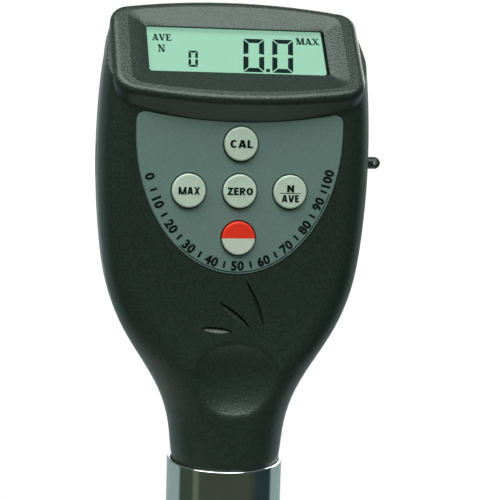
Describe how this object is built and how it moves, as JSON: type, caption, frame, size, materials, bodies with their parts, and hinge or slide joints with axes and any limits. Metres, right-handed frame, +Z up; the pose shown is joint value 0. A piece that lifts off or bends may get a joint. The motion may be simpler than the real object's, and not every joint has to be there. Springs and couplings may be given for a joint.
{
  "type": "rubber hardness tester",
  "caption": "Hand-held digital hardness tester for rubber: paddle-shaped case with a tilted display and a keypad over a chrome barrel, with a sprung indenter in its presser foot.",
  "frame": {"origin": "centre of the presser foot's flat face, which is set down on the rubber under test", "axes": "+Z up along the tool axis from foot to display, the display and keys face -Y, +X to the right as the keys are read"},
  "size_m": [0.0684, 0.0282, 0.162],
  "materials": {
    "case": "matte",
    "panel": "matte",
    "pale_key": "satin",
    "power_key": "satin",
    "window": "polished",
    "display": "polished",
    "chrome": "polished",
    "steel": "satin",
    "spring_steel": "satin",
    "screw_steel": "satin",
    "bronze": "satin",
    "black_plastic": "matte",
    "copper": "satin",
    "ferrite": "matte",
    "board": "satin",
    "component": "satin",
    "mat_rubber": "matte",
    "zebra_rubber": "matte",
    "ribbon": "satin",
    "lead": "matte",
    "cell": "gloss",
    "contact": "satin"
  },
  "bodies": {
    "housing": {"front_shell": "case", "rear_shell": "case", "keypad_panel": "panel", "display_window": "window", "lcd_glass": "display", "barrel": "chrome", "presser_foot": "steel", "lock_ring": "steel", "head_sleeve": "steel", "spring_adjuster": "steel", "measuring_spring": "spring_steel", "case_screws": "screw_steel", "board_screws": "screw_steel", "display_screws": "screw_steel", "lower_bush": "bronze", "upper_bush": "bronze", "lcd_frame": "black_plastic", "data_socket": "black_plastic", "lanyard_post": "black_plastic", "sensor_bobbin": "black_plastic", "sensor_winding": "copper", "main_board": "board", "display_board": "board", "board_components": "component", "key_mat": "mat_rubber", "zebra_strips": "zebra_rubber", "display_ribbon": "ribbon", "sensor_lead": "lead", "battery_cells": "cell", "battery_contacts": "contact", "battery_springs": "contact"},
    "plunger": {"indenter": "steel", "spindle": "steel", "spring_collar": "steel", "sensor_core": "ferrite"},
    "key_cal": {"key_cal": "pale_key"},
    "key_max": {"key_max": "pale_key"},
    "key_zero": {"key_zero": "pale_key"},
    "key_average": {"key_average": "pale_key"},
    "key_power": {"key_power": "power_key"},
    "battery_door": {"battery_door": "case"}
  },
  "joints": [
    {"name": "plunger_slide", "type": "slide", "parent": "housing", "child": "plunger", "axis": [0, 0, 1], "range_m": [0, 0.0025], "stiffness_N_per_m": 3000, "springref_m": -0.00018, "deforming": ["measuring_spring"]},
    {"name": "key_cal_press", "type": "slide", "parent": "housing", "child": "key_cal", "axis": [0, 1, 0], "range_m": [0, 0.0008], "stiffness_N_per_m": 1500, "springref_m": -0.0003, "deforming": ["key_mat"]},
    {"name": "key_max_press", "type": "slide", "parent": "housing", "child": "key_max", "axis": [0, 1, 0], "range_m": [0, 0.0008], "stiffness_N_per_m": 1500, "springref_m": -0.0003, "deforming": ["key_mat"]},
    {"name": "key_zero_press", "type": "slide", "parent": "housing", "child": "key_zero", "axis": [0, 1, 0], "range_m": [0, 0.0008], "stiffness_N_per_m": 1500, "springref_m": -0.0003, "deforming": ["key_mat"]},
    {"name": "key_average_press", "type": "slide", "parent": "housing", "child": "key_average", "axis": [0, 1, 0], "range_m": [0, 0.0008], "stiffness_N_per_m": 1500, "springref_m": -0.0003, "deforming": ["key_mat"]},
    {"name": "key_power_press", "type": "slide", "parent": "housing", "child": "key_power", "axis": [0, 1, 0], "range_m": [0, 0.0008], "stiffness_N_per_m": 1500, "springref_m": -0.0003, "deforming": ["key_mat"]},
    {"name": "battery_door_slide", "type": "slide", "parent": "housing", "child": "battery_door", "axis": [0, 0, 1], "range_m": [0, 0.072]}
  ]
}
